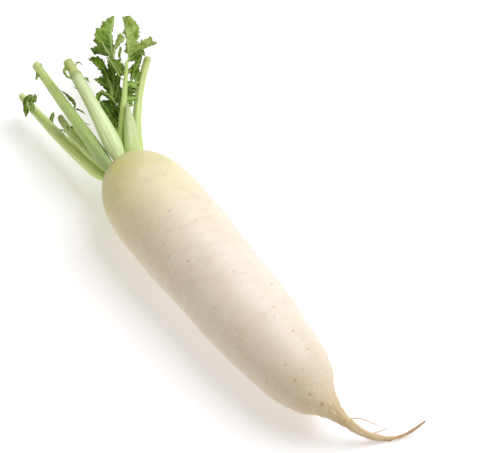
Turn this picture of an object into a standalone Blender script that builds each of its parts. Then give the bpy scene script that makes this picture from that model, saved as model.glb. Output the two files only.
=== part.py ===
"""Daikon radish as pulled and trimmed, lying on its side.

One long root that grew in one piece (crown, body and tail), the cut leaf stalks that fan out of
its crown, two young leaves that were left on, and the torn scraps of leaf on the cut stalks.
Tables are in millimetres and degrees. The crown's centre is the origin while the pieces are
made: the root runs along +X, the stalks along -X, and +Z is up. The whole model is then moved
so that the origin is under the middle of its box, on the surface that the root lies on.
"""

import math

import bmesh
import bpy
from mathutils import Vector

MM = 0.001
GAP = 0.3

# ---- driving dimensions of the root ----
ROOT_SIDES = 40
RING_SPACING = 7.5
TAIL_SPACING = 3.2
CROWN_RADIUS = 18.0
BODY_RADIUS = 37.5
BODY_LENGTH = 256.0
ROOT_LENGTH = 343.0
TAIL_START = 240.0
PRESSED_FLAT = 0.45
BEARING_STATIONS = (87.0, 163.0)

# distance along the root, radius
ROOT_PROFILE = (
    (0.0, CROWN_RADIUS - 1.6), (2.5, CROWN_RADIUS), (7.0, 19.8), (13.0, 25.4), (24.0, 32.0),
    (38.0, 35.6), (59.0, 37.3), (87.0, BODY_RADIUS), (119.0, 36.1), (146.0, 35.0), (174.0, 33.6),
    (196.0, 31.2), (215.0, 28.5), (228.0, 25.8), (239.0, 21.4), (248.5, 15.6), (BODY_LENGTH, 9.9),
    (264.0, 6.6), (276.0, 4.5), (285.0, 3.4), (294.0, 2.8), (305.0, 2.2), (320.0, 1.5),
    (335.0, 1.0), (ROOT_LENGTH, 0.7),
)
# distance along the root, heading towards +Y, slope above level
TAIL_BEND = (
    (TAIL_START, 0.0, 0.0), (250.0, 9.0, -7.0), (261.0, 14.0, -19.0), (270.0, 22.0, -29.0),
    (280.0, 31.0, -38.0), (289.0, 40.0, -37.0), (299.0, 49.0, -30.0), (308.0, 54.0, -17.0),
    (316.0, 60.0, 0.0), (324.0, 71.0, 14.0), (333.0, 80.0, 22.0), (ROOT_LENGTH, 83.0, 26.0),
)

# ---- cut stalks ----
# place on the crown (radius, clock angle from the top towards +Y), length, heading at crown and
# tip (towards +Y), slope at crown and tip, half widths at crown, at the sheath and at the tip
CUT_STALKS = {
    "stalk_low": (14.5, -118, 116, (-3, -3), (-17, 7), (4.4, 8.2, 4.0)),
    "stalk_small": (5.5, -95, 72, (-14, 7), (1, -13), (2.6, 3.3, 2.2)),
    "stalk_dark": (12.5, -55, 106, (2, 4), (9, 6), (4.2, 5.9, 3.5)),
    "stalk_bright": (12.5, 0, 86, (3, 12), (19, 17), (4.6, 7.3, 4.3)),
    "stalk_rear": (16.0, 96, 82, (30, 58), (12, 22), (3.6, 5.2, 3.1)),
    "stalk_stub": (12.8, 49, 39, (44, 30), (24, 19), (3.5, 5.6, 1.5)),
}
# ---- midribs of the two young leaves ----
MIDRIBS = {
    "front_leaf_midrib": (5.0, 25, 82, (39, 41), (17, 17), (1.9, 2.4, 1.3)),
    "left_leaf_midrib": (4.5, 140, 97, (22, 39), (-2, 20), (1.7, 2.0, 1.1)),
}
SHEATH_AT = 0.16
ROOTED = 4.0
STALK_STEPS = 12
SECTION_SIDES = 14
STALK_DEPTH = 0.78
GROOVE_DEPTH = 0.22

# ---- leaf blades ----
# midrib, how far along it, side of it (1 is right of its heading, 0 is on its end), length,
# heading, slope, half widths right and left of the blade's own vein, roll about that vein
BLADES = {
    "front_leaf_tip": ("front_leaf_midrib", 1.0, 0, 36, (28, 32), (12, 8), (12.0, 2.0), 0),
    "front_leaf_right": ("front_leaf_midrib", 1.0, 1, 28, (54, 114), (-30, 14), (1.6, 4.2), 0),
    "front_leaf_under": ("front_leaf_midrib", 0.90, 1, 18, (66, 88), (-32, -22), (3.6, 2.8), 0),
    "front_leaf_side": ("front_leaf_midrib", 0.75, 1, 27, (68, 38), (-32, 4), (1.4, 3.4), 0),
    "front_leaf_low": ("front_leaf_midrib", 0.61, 1, 8, (84, 90), (-48, -40), (2.0, 2.0), 0),
    "front_leaf_left": ("front_leaf_midrib", 0.79, -1, 27, (0, 8), (-1, 8), (4.5, 1.0), 0),
    "front_leaf_small": ("front_leaf_midrib", 0.95, -1, 18, (-5, 45), (8, 14), (1.8, 1.8), 0),
    "left_leaf_tip": ("left_leaf_midrib", 1.0, 0, 37, (32, 42), (14, 7), (1.2, 14.5), 0),
    "left_leaf_right": ("left_leaf_midrib", 0.95, 1, 27, (55, 60), (6, 9), (3.5, 3.5), 0),
    "left_leaf_curl": ("left_leaf_midrib", 0.93, -1, 16, (-5, 0), (40, 32), (2.8, 2.8), 0),
    "left_leaf_high": ("left_leaf_midrib", 0.88, -1, 19, (-12, -27), (-4, 4), (6.0, 4.6), 0),
    "left_leaf_middle": ("left_leaf_midrib", 0.74, -1, 15, (-20, -24), (0, 4), (4.3, 3.8), 0),
    "left_leaf_arch": ("left_leaf_midrib", 0.60, -1, 19, (5, -100), (24, -24), (2.2, 2.2), 0),
    "left_leaf_low": ("left_leaf_midrib", 0.46, -1, 14, (-10, 5), (10, 0), (3.8, 3.8), 0),
    "left_leaf_base": ("left_leaf_midrib", 0.30, -1, 13, (0, 10), (6, 0), (2.6, 2.6), 0),
    "left_leaf_inner": ("left_leaf_midrib", 0.83, 1, 14, (105, 56), (2, 6), (3.0, 3.5), 0),
    "left_leaf_inner_low": ("left_leaf_midrib", 0.64, 1, 15, (105, 50), (0, 4), (3.0, 3.5), 0),
}
# ---- torn scraps on the cut stalks ----
# stalk, how far along it, clock angle around it (90 is right of its heading), length, angle that
# the scrap turns away from the stalk towards its tip, half width
SCRAPS = {
    "stalk_low_collar": ("stalk_low", 0.82, -80, 12, 150, 3.4),
    "stalk_low_flap": ("stalk_low", 0.83, 60, 6, 40, 2.6),
    "stalk_low_scrap": ("stalk_low", 0.66, 75, 10, 30, 2.2),
    "stalk_low_shred": ("stalk_low", 0.52, 80, 6, 60, 1.4),
    "stalk_small_scrap": ("stalk_small", 0.80, 40, 6, 50, 1.6),
    "stalk_small_flap": ("stalk_small", 0.66, 10, 7, 60, 2.0),
    "stalk_small_shred": ("stalk_small", 0.54, 85, 5, 50, 1.2),
    "stalk_dark_scrap": ("stalk_dark", 0.90, -85, 11, 130, 2.2),
    "stalk_dark_tuft": ("stalk_dark", 0.93, 80, 6, 35, 1.6),
    "stalk_dark_flap": ("stalk_dark", 0.66, 85, 15, 140, 2.2),
    "stalk_dark_frond": ("stalk_dark", 0.50, 85, 12, 95, 1.7),
    "stalk_dark_shred": ("stalk_dark", 0.36, 80, 8, 100, 1.3),
    "stalk_bright_curl": ("stalk_bright", 0.86, -85, 16, 160, 2.0),
    "stalk_bright_tuft": ("stalk_bright", 0.90, 80, 10, 70, 1.9),
    "stalk_bright_scrap": ("stalk_bright", 0.74, 85, 7, 60, 1.8),
    "stalk_bright_shred": ("stalk_bright", 0.66, -85, 7, 80, 1.0),
}
BLADE_STEPS = 8
SCRAP_STEPS = 4
SCRAP_CLEARANCE = 0.8
BLADE_THICKNESS = 0.8
BLADE_CUP = 0.16
BLADE_WAVE = 0.5
BLADE_CLEARANCE = 1.3

MATERIALS = {
    "root_skin": ((0.86, 0.82, 0.70), 0.45),
    "stalk_green": ((0.52, 0.66, 0.30), 0.45),
    "leaf_green": ((0.16, 0.30, 0.06), 0.55),
}


def clear_scene():
    for item in list(bpy.data.objects):
        bpy.data.objects.remove(item, do_unlink=True)


def make_collection(name, hidden=False):
    found = bpy.data.collections.new(name)
    bpy.context.scene.collection.children.link(found)
    found.hide_render = hidden
    return found


def make_material(slot):
    colour, roughness = MATERIALS[slot]
    material = bpy.data.materials.new(slot)
    material.use_nodes = True
    shader = material.node_tree.nodes["Principled BSDF"]
    shader.inputs["Base Color"].default_value = (*colour, 1.0)
    shader.inputs["Roughness"].default_value = roughness
    shader.inputs["Metallic"].default_value = 0.0
    return material


def smooth_between(stations, at, column=1):
    """Value at a distance, on a cubic through the stations that doesn't overshoot them."""
    last = len(stations) - 1
    at = min(max(at, stations[0][0]), stations[last][0])
    i = max(k for k in range(last) if stations[k][0] <= at)
    slopes = []
    for k in (i, i + 1):
        before, here, after = stations[max(k - 1, 0)], stations[k], stations[min(k + 1, last)]
        rise_in = (here[column] - before[column]) / max(here[0] - before[0], 1e-9)
        rise_out = (after[column] - here[column]) / max(after[0] - here[0], 1e-9)
        product = rise_in * rise_out
        slopes.append(2 * product / (rise_in + rise_out) if product > 0 else 0.0)
    (x0, y0), (x1, y1) = ((stations[k][0], stations[k][column]) for k in (i, i + 1))
    span = x1 - x0
    t = (at - x0) / span
    return (
        y0 * (1 + 2 * t) * (1 - t) ** 2 + span * slopes[0] * t * (1 - t) ** 2
        + y1 * t * t * (3 - 2 * t) + span * slopes[1] * t * t * (t - 1)
    )


def heading(yaw, slope, along=-1.0):
    """Unit direction: yaw turns towards +Y, slope rises towards +Z, along is the X direction."""
    yaw, slope = math.radians(yaw), math.radians(slope)
    flat = math.cos(slope)
    return Vector((along * flat * math.cos(yaw), flat * math.sin(yaw), math.sin(slope)))


def turning_line(start, length, yaw, slope, steps):
    """Points of a line whose direction turns evenly from its first heading to its last."""
    points = [Vector(start)]
    for k in range(steps):
        t = (k + 0.5) / steps
        step = heading(yaw[0] + (yaw[1] - yaw[0]) * t, slope[0] + (slope[1] - slope[0]) * t)
        points.append(points[-1] + step * (length / steps))
    return points


def add_object(name, data, collection, slot, parent):
    item = bpy.data.objects.new(name, data)
    collection.objects.link(item)
    item.parent = parent
    data.materials.append(bpy.data.materials[slot])
    return item


def poly_curve(name, points, radii, tilt=0.0):
    curve = bpy.data.curves.new(name, "CURVE")
    curve.dimensions = "3D"
    curve.twist_mode = "Z_UP"
    curve.use_fill_caps = True
    spline = curve.splines.new("POLY")
    spline.points.add(len(points) - 1)
    for knot, place, radius in zip(spline.points, points, radii):
        knot.co = (*(place * MM), 1.0)
        knot.radius = radius * MM
        knot.tilt = tilt
    return curve


def mesh_of_curve(name, curve):
    """The curve's evaluated mesh with its caps welded on; the curve is removed."""
    holder = bpy.data.objects.new(name + "_curve", curve)
    bpy.context.scene.collection.objects.link(holder)
    evaluated = holder.evaluated_get(bpy.context.evaluated_depsgraph_get())
    mesh = bpy.data.meshes.new_from_object(evaluated)
    mesh.name = name
    work = bmesh.new()
    work.from_mesh(mesh)
    bmesh.ops.remove_doubles(work, verts=work.verts, dist=1e-6)
    bmesh.ops.recalc_face_normals(work, faces=work.faces)
    work.to_mesh(mesh)
    work.free()
    bpy.data.objects.remove(holder, do_unlink=True)
    bpy.data.curves.remove(curve)
    return mesh


def cut_mesh(mesh, through, facing):
    """Cut a closed mesh by a plane, keep the side that the plane faces, and close the cut."""
    work = bmesh.new()
    work.from_mesh(mesh)
    cut = bmesh.ops.bisect_plane(
        work, geom=work.verts[:] + work.edges[:] + work.faces[:], dist=1e-7,
        plane_co=through * MM, plane_no=facing, clear_inner=True,
    )
    rim = [item for item in cut["geom_cut"] if isinstance(item, bmesh.types.BMEdge)]
    bmesh.ops.holes_fill(work, edges=rim, sides=0)
    bmesh.ops.recalc_face_normals(work, faces=work.faces)
    work.to_mesh(mesh)
    work.free()


# ---- root ----
def bearing_slope():
    """Slope of the axis that lays both bearing stations of the body on the surface."""
    near, far = BEARING_STATIONS
    fall = smooth_between(ROOT_PROFILE, near) - smooth_between(ROOT_PROFILE, far)
    return -math.degrees(math.atan2(fall, far - near))


def root_axis():
    """Distances along the root and the points of its axis, crown first."""
    rest = bearing_slope()
    near = BEARING_STATIONS[0]
    lift = smooth_between(ROOT_PROFILE, near) / math.cos(math.radians(rest))
    lift += near * math.sin(math.radians(-rest))
    bend = [(at, yaw, slope + rest) for at, yaw, slope in TAIL_BEND[:1]] + list(TAIL_BEND[1:])
    distances, points = [0.0], [Vector((0.0, 0.0, lift))]
    while distances[-1] < ROOT_LENGTH:
        here = distances[-1]
        step = TAIL_SPACING if here >= TAIL_START or here < 3 * TAIL_SPACING else RING_SPACING
        step = min(step, ROOT_LENGTH - here)
        middle = here + step / 2
        if middle < TAIL_START:
            direction = heading(0.0, rest, 1.0)
        else:
            yaw, slope = smooth_between(bend, middle, 1), smooth_between(bend, middle, 2)
            direction = heading(yaw, slope, 1.0)
        points.append(points[-1] + direction * step)
        distances.append(here + step)
    return distances, points


def make_root(collection, parent):
    distances, points = root_axis()
    radii = [smooth_between(ROOT_PROFILE, at) for at in distances]
    curve = poly_curve("root", points, radii)
    curve.bevel_depth = 1.0
    curve.bevel_resolution = (ROOT_SIDES - 4) // 2
    mesh = mesh_of_curve("root", curve)
    cut_mesh(mesh, Vector((0.0, 0.0, PRESSED_FLAT)), Vector((0.0, 0.0, 1.0)))
    mesh.shade_smooth()
    mesh.set_sharp_from_angle(angle=math.radians(40))
    add_object("root", mesh, collection, "root_skin", parent)
    return points[0]


# ---- stalks ----
def make_section(guides):
    """Cross-section of a leaf stalk: round on its outer side, grooved on its inner side."""
    curve = bpy.data.curves.new("stalk_section", "CURVE")
    curve.dimensions = "2D"
    spline = curve.splines.new("POLY")
    spline.use_cyclic_u = True
    spline.points.add(SECTION_SIDES - 1)
    for k, knot in enumerate(spline.points):
        angle = 2 * math.pi * (k + 0.5) / SECTION_SIDES
        across, up = math.cos(angle), STALK_DEPTH * math.sin(angle)
        if up < 0:
            up += GROOVE_DEPTH * (1 - across * across) - 0.1 * up
        knot.co = (across, up, 0.0, 1.0)
    item = bpy.data.objects.new("stalk_section", curve)
    item.display_type = "WIRE"
    item.hide_render = True
    guides.objects.link(item)
    return item


def stalk_line(crown, place):
    """Where a stalk runs: its points from the crown to its cut end, and its clock angle."""
    radius, clock, length, yaw, slope, _ = place
    angle = math.radians(clock)
    start = crown + Vector((0.0, radius * math.sin(angle), radius * math.cos(angle)))
    start -= heading(yaw[0], slope[0]) * ROOTED
    return turning_line(start, length + ROOTED, yaw, slope, STALK_STEPS)


def stalk_radii(place):
    at_crown, sheath, tip = place[5]
    stations = ((0.0, at_crown), (SHEATH_AT, sheath), (0.5, sheath + 0.42 * (tip - sheath)), (1.0, tip))
    return [smooth_between(stations, k / STALK_STEPS) for k in range(STALK_STEPS + 1)]


def make_stalk(name, place, crown, section, collection, parent):
    points, radii = stalk_line(crown, place), stalk_radii(place)
    curve = poly_curve(name, points, radii, math.radians(place[1]))
    curve.bevel_mode = "OBJECT"
    curve.bevel_object = section
    mesh = mesh_of_curve(name, curve)
    away = heading(0.0, -bearing_slope())
    cut_mesh(mesh, crown + away * GAP, away)
    mesh.shade_smooth()
    mesh.set_sharp_from_angle(angle=math.radians(50))
    add_object(name, mesh, collection, "stalk_green", parent)
    return points, radii


# ---- leaf blades and scraps ----
def side_of(direction, clock):
    """Unit vector square to a direction: clock 0 is upwards, 90 is to its right."""
    right = direction.cross(Vector((0.0, 0.0, 1.0))).normalized()
    up = right.cross(direction)
    angle = math.radians(clock)
    return up * math.cos(angle) + right * math.sin(angle)


def direction_at(points, k):
    return (points[min(k + 1, len(points) - 1)] - points[max(k - 1, 0)]).normalized()


def point_at(points, fraction):
    """Point and direction of a line at a fraction of its length."""
    place = fraction * (len(points) - 1)
    k = min(int(place), len(points) - 2)
    return points[k].lerp(points[k + 1], place - k), (points[k + 1] - points[k]).normalized()


def blade_outline(u):
    """Share of the full half width at a fraction of the blade's length."""
    return 0.16 + 0.84 * math.sin(math.pi * (0.04 + 0.88 * u) ** 0.9) ** 0.8


def sheet_mesh(name, points, half_widths, roll):
    """A cupped, waved sheet along a line, one vertex row for each point."""
    right, left = half_widths
    columns = (-1.0, -0.5, 0.0, 0.5, 1.0)
    verts, faces = [], []
    for k, point in enumerate(points):
        direction = direction_at(points, k)
        across = side_of(direction, 90 + roll)
        normal = side_of(direction, roll)
        share = blade_outline(k / (len(points) - 1))
        for column in columns:
            reach = column * (right if column > 0 else left) * share
            lift = BLADE_CUP * abs(reach) + BLADE_WAVE * column * column * math.sin(1.9 * k)
            verts.append((point + across * reach + normal * lift) * MM)
    for k in range(len(points) - 1):
        for j in range(len(columns) - 1):
            a = k * len(columns) + j
            b = a + len(columns)
            faces.append((a, a + 1, b + 1, b))
    mesh = bpy.data.meshes.new(name)
    mesh.from_pydata(verts, [], faces)
    return mesh


def add_sheet(name, mesh, collection, parent):
    mesh.shade_smooth()
    item = add_object(name, mesh, collection, "leaf_green", parent)
    solid = item.modifiers.new("thickness", "SOLIDIFY")
    solid.thickness = BLADE_THICKNESS * MM
    solid.offset = 0.0
    return item


def make_blade(name, place, lines, collection, parent):
    midrib, along, side, length, yaw, slope, half_widths, roll = place
    points, radii = lines[midrib]
    start, direction = point_at(points, along)
    radius = radii[round(along * STALK_STEPS)]
    if side:
        start = start + side_of(direction, 90 * side) * (radius + BLADE_CLEARANCE)
    else:
        start = start + direction * BLADE_CLEARANCE
    line = turning_line(start, length, yaw, slope, BLADE_STEPS)
    add_sheet(name, sheet_mesh(name, line, half_widths, roll), collection, parent)


def make_scrap(name, place, lines, collection, parent):
    stalk, along, clock, length, turn, half_width = place
    points, radii = lines[stalk]
    start, direction = point_at(points, along)
    radius = radii[round(along * STALK_STEPS)]
    outwards = side_of(direction, clock)
    line = [start + outwards * (radius + SCRAP_CLEARANCE)]
    for k in range(SCRAP_STEPS):
        angle = math.radians(turn * k / (SCRAP_STEPS - 1))
        step = outwards * math.cos(angle) + direction * math.sin(angle)
        line.append(line[-1] + step * (length / SCRAP_STEPS))
    mesh = sheet_mesh(name, line, (half_width, half_width), 0)
    add_sheet(name, mesh, collection, parent)


def set_down(parts, stand):
    """Move the whole model so that the origin is under the middle of its box, at its lowest."""
    bpy.context.view_layer.update()
    graph = bpy.context.evaluated_depsgraph_get()
    corners = []
    for item in parts.objects:
        if item.type == "MESH":
            solid = item.evaluated_get(graph)
            corners += [solid.matrix_world @ vertex.co for vertex in solid.data.vertices]
    low = Vector([min(corner[axis] for corner in corners) for axis in range(3)])
    high = Vector([max(corner[axis] for corner in corners) for axis in range(3)])
    stand.location = (-(low.x + high.x) / 2, -(low.y + high.y) / 2, -low.z)


def build():
    clear_scene()
    for slot in MATERIALS:
        make_material(slot)
    parts = make_collection("daikon_radish")
    guides = make_collection("guides", hidden=True)
    stand = bpy.data.objects.new("daikon_radish_frame", None)
    parts.objects.link(stand)
    crown = make_root(parts, stand)
    section = make_section(guides)
    lines = {}
    for name, place in (CUT_STALKS | MIDRIBS).items():
        lines[name] = make_stalk(name, place, crown, section, parts, stand)
    for name, place in BLADES.items():
        make_blade(name, place, lines, parts, stand)
    for name, place in SCRAPS.items():
        make_scrap(name, place, lines, parts, stand)
    set_down(parts, stand)


build()
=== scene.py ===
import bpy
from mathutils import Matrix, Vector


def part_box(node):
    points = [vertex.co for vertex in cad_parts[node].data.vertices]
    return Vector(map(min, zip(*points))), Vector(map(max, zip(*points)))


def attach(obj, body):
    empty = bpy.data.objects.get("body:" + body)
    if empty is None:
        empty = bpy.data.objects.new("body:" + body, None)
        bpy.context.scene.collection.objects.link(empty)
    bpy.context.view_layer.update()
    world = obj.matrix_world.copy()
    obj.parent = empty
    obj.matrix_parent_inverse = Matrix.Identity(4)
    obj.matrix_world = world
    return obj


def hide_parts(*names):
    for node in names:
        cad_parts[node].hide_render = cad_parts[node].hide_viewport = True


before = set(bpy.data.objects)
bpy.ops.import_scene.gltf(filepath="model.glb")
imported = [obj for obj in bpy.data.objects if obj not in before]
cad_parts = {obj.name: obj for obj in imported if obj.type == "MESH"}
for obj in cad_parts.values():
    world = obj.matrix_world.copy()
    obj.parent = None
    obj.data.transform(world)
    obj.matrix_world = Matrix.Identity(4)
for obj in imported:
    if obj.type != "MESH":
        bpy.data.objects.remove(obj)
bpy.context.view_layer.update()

import math

import bpy
import numpy as np
from mathutils import Vector

# Daikon radish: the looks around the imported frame. Tables are in millimetres and degrees, in the
# part's own frame: the crown's centre is at x 0 and y 0, the root runs along +X, the stalks
# along -X and +Z is up. to_row() moves points to the row frame, in metres. A clock angle goes
# around the root, from the top towards +Y.
MM = 0.001

# ---- root ----
# radius of the disc that the CAD root starts with
PART_CROWN_RADIUS = 16.4
BODY_RADIUS = 37.5
BODY_LENGTH = 256.0
ROOT_LENGTH = 343.0
TAIL_START = 240.0
# depth of the flat that the body rests on, and the two places that a straight edge touches
PRESSED_FLAT = 0.45
BEARING_STATIONS = (87.0, 163.0)
# distance along the root and radius there, in the visual model
ROOT_PROFILE = (
    (0.0, 5.5), (1.5, 10.8), (3.8, 15.6), (7.0, 19.8), (11.2, 23.8), (16.5, 27.8), (25.5, 32.4),
    (38.0, 35.6), (59.0, 37.3), (87.0, BODY_RADIUS), (119.0, 36.1), (146.0, 35.0), (174.0, 33.6),
    (196.0, 31.2), (215.0, 28.5), (228.0, 25.8), (239.0, 21.8), (248.5, 16.4), (BODY_LENGTH, 11.2),
    (264.0, 7.3), (276.0, 4.8), (285.0, 3.8), (294.0, 3.2), (305.0, 2.6), (313.0, 2.0),
    (320.0, 1.6), (335.0, 1.2), (ROOT_LENGTH, 0.75),
)
# distance along the root, heading towards +Y, slope above level
TAIL_BEND = (
    (TAIL_START, 0.0, 0.0), (250.0, 9.0, -7.0), (261.0, 14.0, -19.0), (270.0, 22.0, -29.0),
    (280.0, 31.0, -38.0), (289.0, 40.0, -37.0), (299.0, 49.0, -30.0), (308.0, 54.0, -17.0),
    (316.0, 60.0, 0.0), (324.0, 71.0, 14.0), (333.0, 80.0, 22.0), (ROOT_LENGTH, 83.0, 26.0),
)
# thin side roots of the tail: points of the line, radius at its start and its end
ROOTLETS = {
    "rootlet_upper": (
        ((272, 10, 22.5), (275, 15.5, 22), (280, 20.5, 19), (287, 25.5, 16)), 0.42, 0.22),
    "rootlet_lower": (((285.5, 20, 7), (288, 27, 6), (289.5, 32.5, 7)), 0.4, 0.22),
    "rootlet_strand": (
        ((282, 12.5, 11.5), (287.5, 18, 6.5), (293, 24.8, 2.9), (297.2, 30.5, 2.0)), 1.5, 0.7),
}
ROOTLET_SPACING = 0.6
ROOTLET_LUMPS = 0.18
# what the root's material reads on a rootlet
ROOTLET_SKIN = {"along": 0.88, "pit": 0.5, "stain": 0.8}
# points around the root, distances between its rings, rings and height of the crown's dome
ROOT_SIDES = 192
RING_SPACING = 0.8
TAIL_SPACING = 0.62
CROWN_ROWS = 14
CROWN_DOME = 2.2

# ---- pits where side roots came out: distance along the root, clock angle, width, darkness ----
PITS = (
    (92, -50, 1.5, 0.8), (103, -46, 2.2, 0.9), (117, -31, 2.2, 0.9), (115, -53, 1.8, 0.8),
    (124, -36, 1.6, 0.6), (100, -73, 1.6, 0.6), (90, -75, 1.6, 0.4), (103, 13, 1.8, 0.4),
    (104, 5, 1.5, 0.3), (110, 15, 1.5, 0.3), (50, -40, 2.4, 0.3), (50, -65, 2.4, 0.25),
    (145, 2, 1.7, 0.8), (143, 18, 1.5, 0.3), (130, 0, 1.8, 0.25), (167, 37, 1.9, 0.9),
    (184, 16, 2.0, 0.8), (180, 24, 2.2, 0.3), (206, 18, 2.0, 1.0), (214, 23, 1.6, 0.7),
    (206, 44, 1.6, 0.6), (222, 20, 2.0, 0.7), (183, -15, 1.4, 0.5), (189, -27, 2.4, 0.35),
    (174, -81, 1.6, 0.5), (197, -74, 1.6, 0.5), (222, -24, 2.6, 0.6), (118, -23, 1.5, 0.3),
    (230, 30, 1.8, 0.4), (241, 37, 1.8, 0.6), (245, 57, 1.8, 0.6), (234, -30, 2.4, 0.9),
    (246, -29, 2.4, 0.9), (254, -29, 2.6, 1.0), (262, 10, 1.5, 0.7), (266, 67, 1.5, 0.7),
    (272, -30, 2.2, 1.0),
)
# random pits: how many, clock angles of their rows, scatter about a row, span of the root, widths,
# darkness, whether they keep to the side away from the viewer
BACK_PITS = (70, (115.0, -140.0, 165.0), 22, (35, 262), (1.2, 2.4), (0.25, 0.9), True)
SMALL_PITS = (70, (-58.0, 12.0), 20, (60, 258), (0.9, 1.5), (0.25, 0.65), False)
BACK_CLOCKS = (70, 290)
# reach of a pit around and along the root, in widths; the streak beside it, in reaches; its shade
PIT_REACH = (0.62, 0.42)
STREAK_REACH = (2.6, 0.7)
STREAK_SHADE = 0.45

# ---- relief and colours of the root's skin ----
# waves in the skin: stretch along and around the root, shortest and longest wave, how many
SKIN_WAVES = {
    "lumps": ((1.0, 1.0, 1.0), 46.0, 95.0, 14),
    "swells": ((1.0, 0.6, 0.6), 7.0, 18.0, 24),
    "rings": ((1.0, 0.09, 0.09), 2.6, 8.0, 26),
    "scars": ((1.6, 1.0, 1.0), 3.0, 8.0, 20),
    "strands": ((0.12, 1.0, 1.0), 1.6, 4.5, 20),
    "knots": ((1.0, 0.4, 0.4), 5.0, 14.0, 16),
}
# depth of each of them, on the body in millimetres, on the tail as a share of its radius
BODY_RELIEF = {"lumps": 0.62, "rings": 0.13, "swells": 0.14}
TAIL_RELIEF = {"strands": 0.15, "knots": 0.20}
TAIL_RELIEF_RADIUS = 5.5
SCAR_DEPTH = 1.3
PIT_DEPTH = 0.30
# height above the floor over which the relief fades in; spans of the root for each part of it
CLEAR_HEIGHT = 9.0
BODY_FROM = (4.0, 20.0)
TAIL_FROM = (236.0, 268.0)
NECK_UP_TO = (5.0, 11.0)
# place along the root, as a share of its length, and colour; the stops at 0.60 and 0.71 are a
# little darker as painted shade on the tail half of the body, besides the tail's own tan
ROOT_COLOURS = (
    (0.00, (210, 206, 132)), (0.05, (216, 213, 138)), (0.12, (234, 226, 182)),
    (0.22, (240, 229, 200)), (0.34, (242, 232, 214)), (0.60, (238, 228, 209)),
    (0.71, (226, 211, 184)), (0.78, (214, 190, 146)), (0.92, (200, 170, 118)),
    (1.00, (166, 130, 86)),
)
# noise in the skin's colour: stretch, scale, detail and roughness of the noise; the values where
# the tint starts and is full, its strength, the tint
ROOT_TINTS = {
    "blotch": ((1.0, 1.0, 1.0), 28.0, 4.0, 0.5, (0.35, 0.7, 0.34), (226, 211, 188)),
    "patches": ((1.0, 0.45, 0.45), 150.0, 4.0, 0.6, (0.46, 0.68, 0.22), (214, 196, 168)),
    "flecks": ((1.0, 0.28, 0.28), 520.0, 2.0, 0.5, (0.67, 0.75, 0.55), (214, 184, 136)),
    "lines": ((1.0, 0.045, 0.045), 620.0, 3.0, 0.6, (0.52, 0.75, 0.16), (214, 196, 166)),
    "grain": ((1.0, 1.0, 1.0), 900.0, 3.0, 0.6, (0.55, 0.8, 0.12), (205, 184, 150)),
}
# depth in metres and strength of the bump that some of them make
ROOT_BUMPS = {"patches": (0.0006, 0.30), "lines": (0.0003, 0.40), "grain": (0.00012, 0.30)}

# ---- cut stalks and midribs ----
# place on the crown (radius, clock angle from the top towards +Y), length, heading at crown and
# tip (towards +Y), slope at crown and tip, half widths at crown, sheath, middle and tip
CUT_STALKS = {
    "stalk_low": (15.2, -116.6, 116, (-3, -3), (-17, 7), (5.0, 8.8, 7.4, 5.2)),
    "stalk_small": (9.5, -88, 72, (-11.5, 10.5), (1, -14), (5.8, 6.5, 6.0, 4.2)),
    "stalk_dark": (12.5, -55, 108.5, (2, 3), (9, 6.5), (5.0, 6.2, 5.0, 4.0)),
    "stalk_bright": (12.6, 0, 87, (10, 5), (19.5, 16.5), (5.2, 7.3, 5.4, 4.6)),
    "stalk_rear": (18.6, 95, 82, (25, 57), (12, 22), (5.0, 5.8, 5.2, 4.4)),
    "stalk_stub": (15.4, 55, 37, (37, 27), (24, 20), (7.0, 7.8, 6.4, 1.8)),
}
MIDRIBS = {
    "front_leaf_midrib": (5.0, 25, 82, (39, 41), (17, 17), (3.4, 3.5, 2.8, 1.4)),
    "left_leaf_midrib": (4.5, 140, 97, (22, 39), (-2, 20), (2.0, 2.2, 1.7, 0.9)),
}
# where the sheath and the middle widths are, as shares of the length
SHEATH_AT = 0.16
MIDDLE_AT = 0.55
# length inside the crown; height and groove of the section, as shares of its half width
ROOTED = 7.0
STALK_DEPTH = 0.78
GROOVE_DEPTH = 0.22
# rounding of the cut end: its reach in half widths, its power, the share of the width that is left
CUT_ROUNDING = 0.75
CUT_ROUNDNESS = 2.6
CUT_FACE = 0.06
# nodes, as a share of the stalk's length: ring's reach, swelling and its reach, narrowing above
# and the distance over which it comes in
NODES = {"stalk_bright": 0.84}
NODE_RING = 1.5
NODE_SWELL = 0.06
NODE_SWELL_REACH = 2.0
NODE_NARROWS = 0.14
NODE_STEP = 3.0
STALK_ROWS = 130
STALK_SIDES = 48
RIBS = 13
RIB_DEPTH = 0.022
STALK_LUMPS = 0.018
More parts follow.
